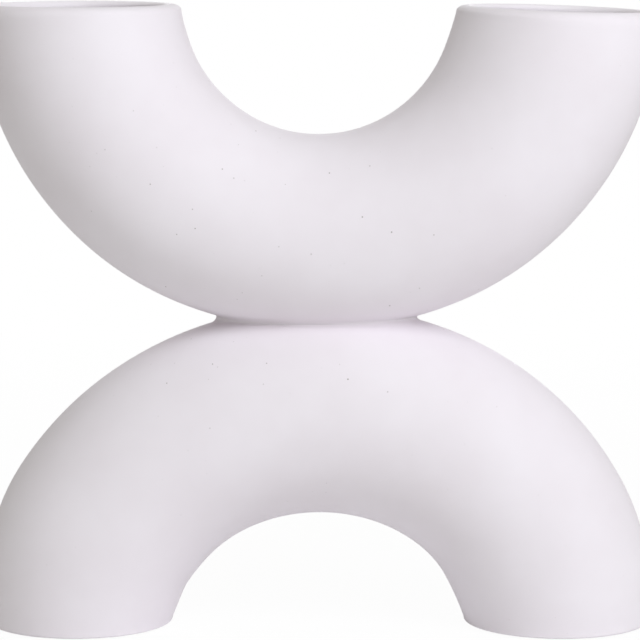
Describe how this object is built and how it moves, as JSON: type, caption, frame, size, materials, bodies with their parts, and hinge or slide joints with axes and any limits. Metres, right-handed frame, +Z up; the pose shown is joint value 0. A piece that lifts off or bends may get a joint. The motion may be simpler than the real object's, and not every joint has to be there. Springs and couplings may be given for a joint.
{
  "type": "x-shaped vase",
  "caption": "X-shaped ceramic vase: a U-shaped hollow tube with open mouths, joined back to back with a hollow arched stand on padded feet; holds water and stems.",
  "frame": {"origin": "on the table, midway between the two feet: the middle of the bounding box's lower face", "axes": "+Z up, +X from the left arm to the right arm, +Y from the front to the back, so the front is seen along +Y"},
  "size_m": [0.2159, 0.0664, 0.1997],
  "materials": {
    "matte_glaze": "matte",
    "bare_clay": "matte",
    "felt": "matte"
  },
  "bodies": {
    "root": {"upper_tube": "matte_glaze", "lower_arch": "matte_glaze", "slip_joint": "matte_glaze", "left_base_plate": "bare_clay", "right_base_plate": "bare_clay", "left_felt_pad": "felt", "right_felt_pad": "felt"}
  },
  "joints": []
}
